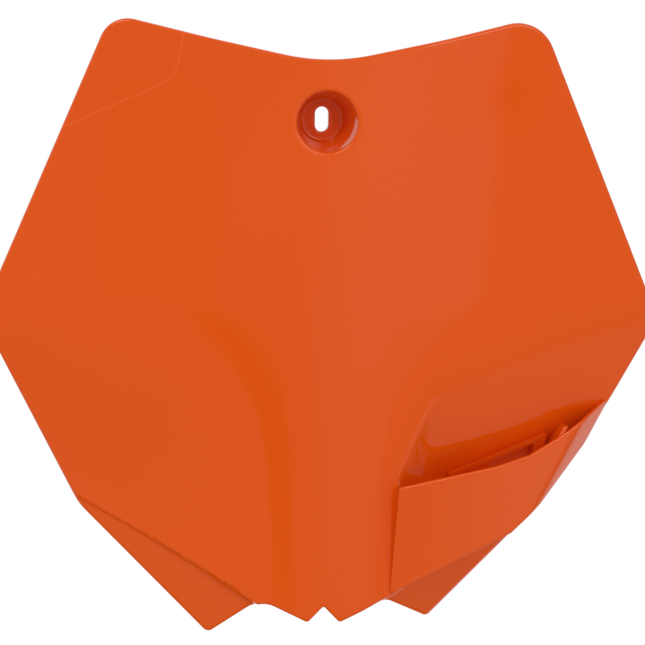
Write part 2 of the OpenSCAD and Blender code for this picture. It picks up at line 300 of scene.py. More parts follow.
    def pressed(self, x: float, z: float, side: Side) -> float:
        """Rise of the board's wall at a place, with its recess and foot panels.

        Args:
            x: Place across the board.
            z: Place up the board.
            side: The face of the wall.

        Returns:
            The rise of that face.
        """
        inset = 0.0 if side is Side.FRONT else self.wall
        rise = self.face(x, z) - inset
        hollow = soft_min(self.recess.set_back(inset).rise_at(x, z),
                          self.back_wall.set_back(inset).rise_at(x, z), self.bend_blend)
        hollow = soft_max(hollow, self.ramp.set_back(inset).rise_at(x, z), self.ramp_blend)
        inside = (smooth((x - self.cliff_x + inset) / self.cliff_run)
                  * smooth(-self.foot_line.below(x, z) / self.wall - self.recess_walls))
        sunk = soft_min(rise, hollow, self.crease_blend)
        rise = mix(rise, sunk, inside if hollow < rise + self.crease_blend else 0.0)
        bow = self.left_line_bow * (1 - ((x - self.left_bow_x) / self.left_bow_w) ** 2)
        for sign, line, foot, lift in ((-1, self.left_line, self.left_foot, max(bow, 0.0)),
                                       (1, self.foot_line, self.right_foot, 0.0)):
            below = line.below(x, z) + lift + inset
            if x * sign > 0 and below > 0:
                panel = foot.set_back(inset).rise_at(x, z)
                sunk = soft_min(rise, panel, self.wall / 4)
                rise = mix(rise, sunk, smooth(below / self.step_run))
        return rise

    def strap_front(self, x: float, z: float) -> float:
        """Rise of the strap's front, with its rounded turn into its end."""
        return soft_min(self.strap.rise_at(x, z), self.strap_end.rise_at(x, z),
                        self.return_blend)

    def strap_back(self, x: float, z: float) -> float:
        """Rise of the strap's inner face."""
        return soft_min(self.strap.set_back(self.wall).rise_at(x, z),
                        self.strap_end.set_back(self.wall).rise_at(x, z), self.return_blend)

    def strap_top(self, x: float) -> float:
        """Height of the strap's top edge, which bends upwards near its end."""
        bend = soft_max(x - self.strap_bend_x, 0.0, self.strap_bend_blend)
        return (-self.strap_drop + self.strap_top_slope * (x - self.strap_x)
                + (self.strap_rise_slope - self.strap_top_slope) * bend)

    def strap_left(self, z: float) -> float:
        """Place across the board of the strap's left side, which draws in towards its foot."""
        return self.strap_x + math.tan(math.radians(self.strap_side_lean)) * (z + self.strap_drop)

    def strap_end_x(self, lift: float) -> float:
        """Where the strap's end meets a line that lies above the strap's bottom edge.

        Args:
            lift: Height of the line above the bottom edge.

        Returns:
            The place across the board.
        """
        run = ((self.strap_corner_x - self.strap_toe_x)
               / (self.right_foot_drop - self.right_corner_drop))
        return ((self.strap_toe_x + run * (self.right_foot_drop + lift + self.foot_line.z_at(0.0)))
                / (1 - run * self.foot_line.slope))

    def corners(self) -> list[Corner]:
        """Corners of the board's outline from the dip in its top: x, z and radius."""
        return [
            (0.0, self.dip_rise, self.dip_r),
            (self.top_bend_x, self.top_bend_rise, self.top_bend_r),
            (self.right_top_x, self.right_top_rise, self.right_top_r),
            (self.side_w / 2, -self.side_drop, self.side_r),
            (self.right_break_x, -self.right_break_drop, self.right_break_r),
            (self.right_corner_x, -self.right_corner_drop, self.right_break_r),
            (self.right_foot_x, -self.right_foot_drop, self.foot_r),
            (self.arch_x, -self.arch_drop, self.right_arch_r),
            (self.tooth_x, -self.tooth_drop, self.tooth_r),
            (0.0, -self.notch_drop, self.notch_r),
            (-self.tooth_x, -self.tooth_drop, self.tooth_r),
            (-self.arch_x, -self.arch_drop, self.left_arch_r),
            (-self.left_foot_x, -self.left_foot_drop, self.foot_r),
            (-self.left_break_x, -self.left_break_drop, self.left_break_r),
            (-self.side_w / 2, -self.side_drop, self.side_r),
            (-self.left_top_x, self.left_top_rise, self.left_top_r),
            (-self.top_bend_x, self.top_bend_rise, self.top_bend_r),
        ]


@dataclass
class Outline:
    """A closed outline with rounded corners, as points of even spacing.

    Attributes:
        corners: Corners as x, z and radius, clockwise seen from the front.
        pitch: Longest distance between two points on a straight stretch.
        arc_step: Largest turn between two points of an arc, in degrees.
    """

    corners: Sequence[Corner]
    pitch: float = 0.0021
    arc_step: float = 8.0
    points: list[Point] = field(init=False)

    def __post_init__(self) -> None:
        """Round the corners and fill the straight stretches."""
        arcs = [self._arc(i) for i in range(len(self.corners))]
        self.points = []
        for i, arc in enumerate(arcs):
            self.points.extend(arc)
            end, start = Vector(arc[-1]), Vector(arcs[(i + 1) % len(arcs)][0])
            steps = max(math.ceil((start - end).length / self.pitch), 1)
            self.points.extend(tuple(end.lerp(start, k / steps)) for k in range(1, steps))

    def _arc(self, index: int) -> list[Point]:
        """Points of the arc that rounds one corner."""
        x, z, radius = self.corners[index]
        at = Vector((x, z))
        to_last = (Vector(self.corners[index - 1][:2]) - at).normalized()
        to_next = (Vector(self.corners[(index + 1) % len(self.corners)][:2]) - at).normalized()
        half = to_last.angle(to_next) / 2
        if radius == 0 or math.cos(half) < 0.005:
            return [(x, z)]
        centre = at + (to_last + to_next).normalized() * radius / math.sin(half)
        start = at + to_last * radius / math.tan(half) - centre
        end = at + to_next * radius / math.tan(half) - centre
        turn = start.angle_signed(end)
        longest = self.pitch / radius
        steps = max(math.ceil(abs(turn) / min(math.radians(self.arc_step), longest)), 2)
        points = []
        for k in range(steps + 1):
            angle = -turn * k / steps
            cos, sin = math.cos(angle), math.sin(angle)
            points.append((centre.x + start.x * cos - start.y * sin,
                           centre.y + start.x * sin + start.y * cos))
        return points

    def inset(self, distance: float) -> list[Point]:
        """The outline moved inwards.

        Args:
            distance: How far each edge moves in.

        Returns:
            One point for each point of the outline.
        """
        moved = []
        count = len(self.points)
        for i, (x, z) in enumerate(self.points):
            here = Vector((x, z))
            before = (here - Vector(self.points[i - 1])).normalized()
            after = (Vector(self.points[(i + 1) % count]) - here).normalized()
            inward = Vector((before.y + after.y, -before.x - after.x)).normalized()
            spread = max(inward.dot(Vector((before.y, -before.x))), 0.4)
            moved.append(tuple(here + inward * distance / spread))
        return moved


class Edit:
    """Edit mode on one piece, entered and left again."""

    def __init__(self, piece: bpy.types.Object) -> None:
        """Remember the piece."""
        self.piece = piece

    def __enter__(self) -> "Edit":
        """Select the piece alone and enter edit mode."""
        only(self.piece)
        bpy.ops.object.mode_set(mode="EDIT")
        bpy.ops.mesh.select_all(action="DESELECT")
        return self

    def __exit__(self, *_: object) -> None:
        """Go back to object mode."""
        bpy.ops.object.mode_set(mode="OBJECT")

    def pick_faces(self, wanted: Pick) -> None:
        """Select the faces whose middle is wanted, and no others.

        Args:
            wanted: Test of a face's middle.
        """
        bpy.ops.mesh.select_mode(type="FACE")
        bpy.ops.mesh.select_all(action="DESELECT")
        mesh = bmesh.from_edit_mesh(self.piece.data)
        for face in mesh.faces:
            face.select_set(wanted(face.calc_center_median()))
        bmesh.update_edit_mesh(self.piece.data)

    def cut(self, wanted: Pick, place: Vector, normal: Vector) -> None:
        """Cut the wanted faces with a plane.

        Args:
            wanted: Test of a face's middle.
            place: A place on the plane.
            normal: The plane's normal.
        """
        self.pick_faces(wanted)
        bpy.ops.mesh.bisect(plane_co=place, plane_no=normal)


def only(piece: bpy.types.Object) -> None:
    """Make one piece the only selected and active one."""
    bpy.ops.object.select_all(action="DESELECT")
    piece.select_set(True)
    bpy.context.view_layer.objects.active = piece


def apply_modifier(piece: bpy.types.Object, kind: str, **settings: object) -> None:
    """Add a modifier to a piece and apply it.

    Args:
        piece: The piece.
        kind: The modifier's type.
        **settings: Its settings.
    """
    only(piece)
    bpy.ops.object.modifier_add(type=kind)
    modifier = piece.modifiers[-1]
    for name, value in settings.items():
        setattr(modifier, name, value)
    bpy.ops.object.modifier_apply(modifier=modifier.name)


def combine(piece: bpy.types.Object, other: bpy.types.Object, operation: str) -> None:
    """Join a solid to a piece or cut it out, and delete it.

    Args:
        piece: The piece that stays.
        other: The solid that is used up.
        operation: UNION or DIFFERENCE.
    """
    apply_modifier(piece, "BOOLEAN", operation=operation, solver="MANIFOLD", object=other)
    bpy.data.objects.remove(other)


def wrapped_sheet(name: str, rows: Sequence[Row], closed: bool) -> bpy.types.Object:
    """A grid wrapped into a closed skin.

    Args:
        name: Name of the piece.
        rows: Closed rows of points as x, rise and z, from the inside of the sheet's front
            over its edge to the inside of its back.
        closed: True if the last row meets the first, False if each ends in a pole.

    Returns:
        The new piece, with its seams welded and its faces outwards.
    """
    across, up = len(rows[0]), len(rows) if closed else len(rows) - 1
    bpy.ops.object.select_all(action="DESELECT")
    bpy.ops.mesh.primitive_grid_add(x_subdivisions=across, y_subdivisions=up, size=2.0)
    piece = bpy.context.active_object
    piece.name = piece.data.name = name
    for vertex in piece.data.vertices:
        column = round((vertex.co.x + 1) / 2 * across) % across
        row = round((vertex.co.y + 1) / 2 * up) % len(rows)
        x, rise, z = rows[row][column]
        vertex.co = (x, -rise, z)
    with Edit(piece):
        bpy.ops.mesh.select_all(action="SELECT")
        bpy.ops.mesh.remove_doubles(threshold=1e-8)
        bpy.ops.mesh.select_all(action="SELECT")
        bpy.ops.mesh.normals_make_consistent(inside=False)
    return piece


def prism(name: str, points: Sequence[Point], depth: tuple[float, float]) -> bpy.types.Object:
    """A flat outline in X and Z carried from one rise to another.

    Args:
        name: Name of the piece.
        points: The outline.
        depth: The rises of its back and its front.

    Returns:
        The new solid.
    """
    bpy.ops.object.select_all(action="DESELECT")
    bpy.ops.mesh.primitive_circle_add(vertices=len(points), fill_type="NGON")
    piece = bpy.context.active_object
    piece.name = piece.data.name = name
    for vertex, (x, z) in zip(piece.data.vertices, points):
        vertex.co = (x, -depth[0], z)
    with Edit(piece):
        bpy.ops.mesh.select_all(action="SELECT")
        bpy.ops.mesh.extrude_region_move(
            TRANSFORM_OT_translate={"value": (0, depth[0] - depth[1], 0)})
        bpy.ops.mesh.select_all(action="SELECT")
        bpy.ops.mesh.normals_make_consistent(inside=False)
    return piece


def span(name: str, points: Sequence[Point], back: Rise, front: Rise) -> bpy.types.Object:
    """A prism whose back and front follow two surfaces.

    Args:
        name: Name of the piece.
        points: The outline.
        back: Rise of its back at a place.
        front: Rise of its front at a place.

    Returns:
        The new solid.
    """
    solid = prism(name, points, (0.0, 1.0))
    for vertex in solid.data.vertices:
        x, y, z = vertex.co
        vertex.co.y = -(front if y < -0.5 else back)(x, z)
    return solid


@dataclass
class BoardPanel:
    """The board's wall with its rounded edge, recess, foot panels and mounting well.

    Attributes:
        form: Sizes of the moulding.
        rim_r: Radius of the well at the face, with its fillet.
        floor_r: Radius of the well's floor, with its fillet.
        floor_t: Thickness of the well's floor.
        slot_w: Width of the bolt slot, with its length and fillet.
        front_edge_r: Radius of the board's edge at the front, and below it at the back.
        edge_support: Distance in from the edge of the row that holds its round.
        root_fillet: Fillet between the back and the cup.
        front_rows: Rows of points on the front, and below them on the back.
        blank_rise: Half the thickness of the flat blank.
        blank_share: Share of a drop that the blank's edge holds until it is pressed.
        slot_round: Share of a fillet at which its one middle row lies.
        fold_x: Distance from the middle at which the folds start, below fold_top.
        fold_shares: Places of the cuts along a foot panel's step, in runs of the step.
        cliff_shares: Places of the cuts beside the recess, in runs of its side.
        cliff_reach: Where those cuts lie across the board, and up it in cliff_height.
        hole_back: Rise behind which the hose hole ends.
        hole_steps: Runs of the step that the hole reaches past the foot line.
    """

    form: BoardForm
    rim_r: float = 0.0122
    rim_fillet: float = 0.0011
    floor_r: float = 0.0088
    floor_fillet: float = 0.0009
    floor_t: float = 0.003
    slot_w: float = 0.0055
    slot_l: float = 0.010
    slot_fillet: float = 0.0003
    front_edge_r: float = 0.0011
    back_edge_r: float = 0.0005
    edge_support: float = 0.0014
    root_fillet: float = 0.0015
    front_rows: int = 84
    back_rows: int = 40
    blank_rise: float = 0.0005
    blank_share: float = 0.1
    slot_round: float = 0.3
    fold_x: float = 0.012
    fold_top: float = -0.12
    fold_shares: tuple[float, ...] = (-0.9, 0.0, 0.2, 0.4, 0.6, 0.8, 1.0, 1.4)
    cliff_shares: tuple[float, ...] = (0.0, 0.25, 0.5, 0.75, 1.0)
    cliff_reach: tuple[float, float] = (0.02, 0.036)
    cliff_height: tuple[float, float] = (-0.186, -0.132)
    hole_back: float = -0.02
    hole_steps: float = 1.1

    def build(self) -> bpy.types.Object:
        """Form the wall: a flat blank is cut along its folds and pressed to shape."""
        self.outline = Outline(self.form.corners())
        self.bearings = [math.atan2(z, x) for x, z in self.outline.points]
        panel = wrapped_sheet("board_panel", self._rows(), closed=True)
        self._cut_folds(panel)
        self._press(panel)
        combine(panel, self._hose_hole(), "DIFFERENCE")
        return panel

    def _ring(self, radius: float, rise: float) -> Row:
        """A round row at one rise."""
        return [(radius * math.cos(b), rise, radius * math.sin(b)) for b in self.bearings]

    def _slot_row(self, grow: float, rise: float) -> Row:
        """A row along the bolt slot's edge, grown by a margin."""
        radius = self.slot_w / 2 + grow
        half = (self.slot_l - self.slot_w) / 2
        row = []
        for bearing in self.bearings:
            cos, sin = math.cos(bearing), math.sin(bearing)
            reach = radius / max(abs(cos), 1e-9)
            if reach * abs(sin) > half:
                lift = half * abs(sin)
                reach = lift + math.sqrt(max(radius * radius - half * half + lift * lift, 0.0))
            row.append((reach * cos, rise, reach * sin))
        return row

    def _between(self, first: Row, last: Row, count: int) -> list[Row]:
        """Rows evenly spaced between two rows, without either."""
        return [[tuple(mix(a, b, k / (count + 1)) for a, b in zip(p, q))
                 for p, q in zip(first, last)] for k in range(1, count + 1)]

    def _rows(self) -> list[Row]:
        """Rows from the slot's edge over the front, the rim and the back to the slot again."""
        well = self._well_rows()
        edge = self._edge_rows()
        cup = self._cup_rows()
        rows = [*well, *self._between(well[-1], edge[0], self.front_rows), *edge]
        return [*rows, *self._between(edge[-1], cup[0], self.back_rows), *cup]

    def _well_rows(self) -> list[Row]:
        """Rows of the slot's front edge, the well's floor, its wall and its rounded rim."""
        top, near = self.floor_t, self.slot_fillet * self.slot_round
        rows = [self._slot_row(0.0, top - self.slot_fillet),
                self._slot_row(near, top - near),
                self._slot_row(self.slot_fillet, top)]
        flat = self._ring(self.floor_r - self.floor_fillet, top)
        rows += [*self._between(rows[-1], flat, 3), flat]
        rows += [self._ring(self.floor_r - inset, top + lift)
                 for inset, lift in fillet(self.floor_fillet, 4)[1:]]
        rim = [[(x, self.form.face(x, z) - drop, z)
                for x, _, z in self._ring(self.rim_r + out, 0.0)]
               for out, drop in reversed(fillet(self.rim_fillet, 5))]
        rows += [*self._between(rows[-1], rim[0], 6), *rim]
        rows[-1] = [(x, self.blank_rise, z) for x, _, z in rows[-1]]
        return rows

    def _edge_rows(self) -> list[Row]:
        """Rows of the rounded edge, front to back, as drops from the blank's faces."""
        support = (self.edge_support, 0.0)
        front = [support, *fillet(self.front_edge_r, 5)]
        back = [*((inset, lift) for lift, inset in fillet(self.back_edge_r, 3)), support]
        rows = [(inset, self.blank_rise - drop * self.blank_share) for inset, drop in front]
        rows += [(inset, -self.blank_rise + lift * self.blank_share) for inset, lift in back]
        return [[(x, rise, z) for x, z in self.outline.inset(inset)] for inset, rise in rows]

    def _cup_rows(self) -> list[Row]:
        """Rows of the cup behind the well: its root, its wall, its seat and the slot."""
        form = self.form
        taper = (self.rim_r - self.floor_r) / (form.face_rise - self.floor_t)
        foot_r = self.floor_r + form.wall
        root_rise = form.face_rise - form.wall
        root_r = foot_r + taper * root_rise
        rows = [[(x, form.face(x, z) - form.wall - drop, z)
                 for x, _, z in self._ring(root_r + out, 0.0)]
                for out, drop in fillet(self.root_fillet, 5)]
        rows[0] = [(x, -self.blank_rise, z) for x, _, z in rows[0]]
        edge = self.back_edge_r
        low = self._ring(foot_r + taper * edge, edge)
        rows += [*self._between(rows[-1], low, 5), low]
        near = edge * self.slot_round
        rows += [self._ring(foot_r - near, near), self._ring(foot_r - edge, 0.0)]
        slot = self._slot_row(self.slot_fillet, 0.0)
        near = self.slot_fillet * self.slot_round
        rows += [*self._between(rows[-1], slot, 2), slot,
                 self._slot_row(near, near), self._slot_row(0.0, self.slot_fillet)]
        return rows

    def _cut_folds(self, panel: bpy.types.Object) -> None:
        """Cut the blank along the steps above its foot panels and beside its recess.

        Args:
            panel: The flat blank.
        """
        form = self.form
        half = self.blank_rise / 2
        (left, right), (low, high) = self.cliff_reach, self.cliff_height
        with Edit(panel) as edit:
            for face, inset in ((-1, 0.0), (1, form.wall)):
                for line, sign in ((form.left_line, -1), (form.foot_line, 1)):
                    normal = Vector((-line.slope, 0, 1)).normalized()
                    for share in self.fold_shares:
                        place = (Vector((line.x, 0, line.z))
                                 - normal * (form.step_run * share - inset))
                        edit.cut(lambda at: at.x * sign > self.fold_x and at.y * face > half
                                 and at.z < self.fold_top, place, normal)
                for share in self.cliff_shares:
                    place = Vector((form.cliff_x + form.cliff_run * share - inset, 0, 0))
                    edit.cut(lambda at: left < at.x < right and at.y * face > half
                             and low < at.z < high, place, Vector((1, 0, 0)))

    def _press(self, panel: bpy.types.Object) -> None:
        """Move the blank's points onto the form.

        Args:
            panel: The flat blank.
        """
        for vertex in panel.data.vertices:
            x, rise, z = vertex.co.x, -vertex.co.y, vertex.co.z
            if abs(rise) > self.blank_rise * 1.01 or math.hypot(x, z) < self.rim_r:
                continue
            if rise > 0:
                drop = (self.blank_rise - rise) / self.blank_share
                vertex.co.y = -(self.form.pressed(x, z, Side.FRONT) - drop)
            else:
                lift = (self.blank_rise + rise) / self.blank_share
                vertex.co.y = -(self.form.pressed(x, z, Side.BACK) + lift)

    def _hose_hole(self) -> bpy.types.Object:
        """Solid of the hole behind the strap, through which the hose passes."""
        form = self.form
        x0, x1 = form.cliff_x, form.strap_bend_x + form.side_w / 4
        top = [(x, form.strap_top(x) - form.back_overlap)
               for x in (x0, form.strap_bend_x - form.strap_bend_blend, form.strap_bend_x,
                         form.strap_bend_x + form.strap_bend_blend, x1)]
        step = -self.hole_steps * form.step_run * math.hypot(1.0, form.strap_foot_slope)
        low = [(x, form.foot_line.z_at(x) + lift)
               for x, lift in ((x1, step), (form.strap_end_x(step), step),
                               (form.strap_end_x(form.wall), form.wall), (x0, form.wall))]
        return prism("hose_hole", [*top, *low], (self.hole_back, form.strap_rise + form.wall))


@dataclass
class HoseStrap:
    """The strap in front of the recess: its face, its left side and its floor.

    Attributes:
        form: Sizes of the moulding.
        edge_r: Radius of the strap's edges.
        corner_r: Radius of its corners.
        end_gap: How far its floor stays inside its end.
        skin: How far its side and floor stand off its outline.
        sink: How far its side stays in front of the wall's back.
        side_top: Share of the edge's radius at which its side starts.
        middle_x: Place that its rows of points close in on, with middle_drop below the top.
        top_shares: Places of the points along its top edge.
        tries: Steps in which its upper end and lower corner are found.
        pitch: Longest distance between two points of its outline.
        floor_steps: Steps along its floor.
        rows: Rows of points from its middle to its edge.
    """

    form: BoardForm
    edge_r: float = 0.0009
    corner_r: float = 0.0012
    end_gap: float = 0.0003
    skin: float = 0.00002
    sink: float = 0.00005
    side_top: float = 0.3
    middle_x: float = 0.066
    middle_drop: float = 0.014
    top_shares: tuple[float, ...] = (0.3, 0.45, 0.6, 0.75)
    tries: int = 12
    pitch: float = 0.0012
    floor_steps: int = 12
    rows: int = 26

    def build(self) -> bpy.types.Object:
        """Form the strap as one solid."""
        strap = self._face()
        combine(strap, self._side(), "UNION")
        combine(strap, self._floor(), "UNION")
        return strap

    def corners(self) -> list[Corner]:
        """Corners of the strap's outline: x, z and radius."""
        form = self.form
        foot_x = form.strap_end_x(0.0)
        x, low_x = form.right_break_x, form.strap_x
        for _ in range(self.tries):
            x = form.right_break_x + form.edge_run() * (form.strap_top(x) + form.right_break_drop)
            low_x = form.strap_left(form.foot_line.z_at(low_x))
        tops = [mix(form.strap_x, x, share) for share in self.top_shares]
        return [
            (form.strap_x, form.strap_top(form.strap_x), self.corner_r),
            *((top_x, form.strap_top(top_x), 0.0) for top_x in tops),
            (x, form.strap_top(x), self.corner_r),
            (form.right_break_x, -form.right_break_drop, form.right_break_r),
            (form.strap_corner_x, -form.right_corner_drop, form.right_break_r),
            (foot_x, form.foot_line.z_at(foot_x), self.corner_r),
            (low_x, form.foot_line.z_at(low_x), self.corner_r)]

    def _face(self) -> bpy.types.Object:
        """The strap's face with rounded edges."""
        form = self.form
        outline = Outline(self.corners(), pitch=self.pitch)
        centre = (self.middle_x, form.strap_top(self.middle_x) - self.middle_drop)
        rows = [[(*centre, 0)] * len(outline.points)]
        rim = outline.inset(self.edge_r)
        for k in range(1, self.rows + 1):
            share = k / self.rows
            rows.append([(mix(centre[0], x, share), mix(centre[1], z, share), 0) for x, z in rim])
        front = [[(x, form.strap_front(x, z), z) for x, z, _ in row] for row in rows]
        back = [[(x, form.strap_back(x, z), z) for x, z, _ in row] for row in rows[::2]]
        for inset, drop in fillet(self.edge_r, 5)[1:]:
            ring = outline.inset(inset)
            front.append([(x, form.strap_front(x, z) - drop, z) for x, z in ring])
            back.append([(x, form.strap_back(x, z) + drop, z) for x, z in ring])
        return wrapped_sheet("hose_strap", [*front, *back[::-1]], closed=False)

    def _side(self) -> bpy.types.Object:
        """The strap's left side, back to the board's wall."""
        form = self.form
        top = form.strap_top(form.strap_x) - self.edge_r * self.side_top
        low = form.foot_line.z_at(self.corners()[-1][0]) + self.edge_r
        points = [(form.strap_left(z) + self.skin, z) for z in (top, low)]
        points += [(x + form.wall, z) for x, z in reversed(points)]
        return span("strap_side", points, lambda x, z: form.face(x, z) - form.wall + self.sink,
                    lambda x, z: form.strap_front(x, z) - self.edge_r)

    def _floor(self) -> bpy.types.Object:
        """The strap's floor, back to the right foot panel."""
        form = self.form
        x0 = self.corners()[-1][0] + self.edge_r
        low, high = ([(x, form.foot_line.z_at(x) + lift) for x in (
            mix(x0, form.strap_end_x(lift) - self.end_gap, k / self.floor_steps)
            for k in range(self.floor_steps + 1))] for lift in (self.skin, form.wall))
        return span("strap_floor", [*low, *reversed(high)],
                    lambda x, z: form.right_foot.rise_at(x, z) - form.wall / 2,
                    lambda x, z: form.strap_front(x, z) - self.edge_r)


@dataclass
class HoseFrame:
    """The sloping bar and its post on the wall behind the hose, and the web beside the edge.

    Attributes:
        form: Sizes of the moulding.
        bar_t: Thickness of the bar and the web.
        rise: How far the bar stands in front of the wall.
        bar_x0: Where the bar starts, with its drop and slope.
        bar_x1: Where the bar ends.
        post_w: Width of the post.
        web_x: Place of the web, with the drop of its top.
        post_gap: How far the post stays inside the bar's end.
    """

    form: BoardForm
    bar_t: float = 0.0018
    rise: float = 0.005
    bar_x0: float = 0.052
    bar_drop: float = 0.141
    bar_slope: float = 0.4
    bar_x1: float = 0.0914
    post_w: float = 0.005
    web_x: float = 0.0976
    web_drop: float = 0.1216
    post_gap: float = 0.0001

    def build(self) -> list[bpy.types.Object]:
        """Form the bar, the post and the web as solids that sink into the walls they tie."""
        form = self.form
        bar = Line(self.bar_x0, -self.bar_drop, self.bar_slope)
        x0, x1, t = self.bar_x0, self.bar_x1, self.bar_t
        bar_points = [(x0, bar.z_at(x0)), (x1, bar.z_at(x1)),
                      (x1, bar.z_at(x1) - t), (x0, bar.z_at(x0) - t)]
        left, right = x1 - self.post_w, x1 - self.post_gap
        post_points = [(left, bar.z_at(left) - t / 2), (right, bar.z_at(x1) - t / 2),
                       (right, form.strap_top(x1) - form.back_overlap / 2),
                       (left, form.strap_top(left) - form.back_overlap / 2)]
        foot = form.strap_top(self.web_x) - form.back_overlap
        run = form.edge_run() * (foot + self.web_drop)
        web_points = [(self.web_x, -self.web_drop), (self.web_x + t, -self.web_drop),
                      (self.web_x + t + run, foot), (self.web_x + run, foot)]
        root = form.back_wall.set_back(form.wall / 2).rise_at
        front = form.back_wall.set_back(-self.rise).rise_at
        strap = form.strap.set_back(form.wall / 2).rise_at
        return [span("hose_bar", bar_points, root, front),
                span("hose_post", post_points, root, front),
                span("hose_web", web_points, root, strap)]


@dataclass
class HoldingLugs:
    """The two lugs low on the back, which hook behind the mudguard."""

    form: BoardForm
    spacing: float = 0.030
    width: float = 0.009
    reach: float = 0.020
    thickness: float = 0.003
    nose: float = 0.005
    drop: float = 0.168
    rounding: float = 0.0006
    margin: float = 0.0001

    def build(self) -> list[bpy.types.Object]:
        """Form both lugs."""
        return [self._lug(side * self.spacing / 2) for side in (-1, 1)]

    def _lug(self, x: float) -> bpy.types.Object:
        """One lug: a block pulled back from the wall, with a nose pulled down at its end.

        Args:
            x: The lug's middle.

        Returns:
            The lug.
        """
        front = -self.form.face(x, -self.drop) + self.form.wall / 2
        length = self.reach + self.form.wall / 2
        bpy.ops.object.select_all(action="DESELECT")
        bpy.ops.mesh.primitive_cube_add(
            size=1.0, scale=(self.width, length - self.thickness, self.thickness),
            location=(x, front + (length - self.thickness) / 2, -self.drop + self.thickness / 2))
        lug = bpy.context.active_object
        lug.name = lug.data.name = "holding_lug"
        bpy.ops.object.transform_apply(location=True, rotation=True, scale=True)
        end = front + length - self.thickness
        with Edit(lug) as edit:
            edit.pick_faces(lambda at: at.y > end - self.margin)
            bpy.ops.mesh.extrude_region_move(
                TRANSFORM_OT_translate={"value": (0, self.thickness, 0)})
            edit.pick_faces(lambda at: at.y > end + self.margin
                            and at.z < -self.drop + self.margin)
            bpy.ops.mesh.extrude_region_move(TRANSFORM_OT_translate={"value": (0, 0, -self.nose)})
        apply_modifier(lug, "BEVEL", width=self.rounding, segments=3,
                       limit_method="ANGLE", angle_limit=math.radians(40))
        return lug


class Shade:
    """A shader socket on which sums can be written."""

    def __init__(self, finish: "NodeMaker", socket: bpy.types.NodeSocket) -> None:
        """Wrap a socket of a node tree."""
        self.finish = finish
        self.socket = socket

    def _math(self, operation: str, *terms: "Term") -> "Shade":
        """A Math node on the terms."""
        return self.finish.node("ShaderNodeMath", {"operation": operation}, *terms)

    def __add__(self, other: "Term") -> "Shade":
        """Sum."""
        return self._math("ADD", self, other)

    __radd__ = __add__

    def __sub__(self, other: "Term") -> "Shade":
        """Difference."""
        return self._math("SUBTRACT", self, other)

    def __rsub__(self, other: "Term") -> "Shade":
        """Difference, the other way round."""
        return self._math("SUBTRACT", other, self)

    def __mul__(self, other: "Term") -> "Shade":
        """Product."""
        return self._math("MULTIPLY", self, other)

    __rmul__ = __mul__

    def __truediv__(self, other: "Term") -> "Shade":
        """Quotient."""
        return self._math("DIVIDE", self, other)

    def __rtruediv__(self, other: "Term") -> "Shade":
        """Quotient, the other way round."""
        return self._math("DIVIDE", other, self)

    def clamped(self, low: float, high: float) -> "Shade":
        """Share of the way from low to high, eased and kept in 0 to 1."""
        return self.finish.node("ShaderNodeMapRange", {"interpolation_type": "SMOOTHSTEP"},
                                self, low, high)


Term = Union[Shade, float, Sequence[float]]


class NodeMaker:
    """Adds nodes to a tree."""

    def __init__(self, tree: bpy.types.NodeTree) -> None:
        """Empty the tree and keep it."""
        self.tree = tree
        tree.nodes.clear()

    def node(self, kind: str, settings: dict[str, object], *terms: Term, out: int = 0,
             **named: Term) -> Shade:
        """Add one node.

        Args:
            kind: The node's type.
            settings: Its settings, set before its sockets.
            *terms: Values or links of its first sockets.
            out: Index of the output that is returned.
            **named: Values or links of sockets by name, with _ for a space.

        Returns:
            The chosen output.
        """
        node = self.tree.nodes.new(kind)
        for name, value in settings.items():
            setattr(node, name, value)
        for key, value in [*enumerate(terms), *named.items()]:
            socket = node.inputs[key.replace("_", " ") if isinstance(key, str) else key]
            if isinstance(value, Shade):
                self.tree.links.new(value.socket, socket)
            else:
                socket.default_value = value
        return Shade(self, node.outputs[out]) if node.outputs else Shade(self, None)


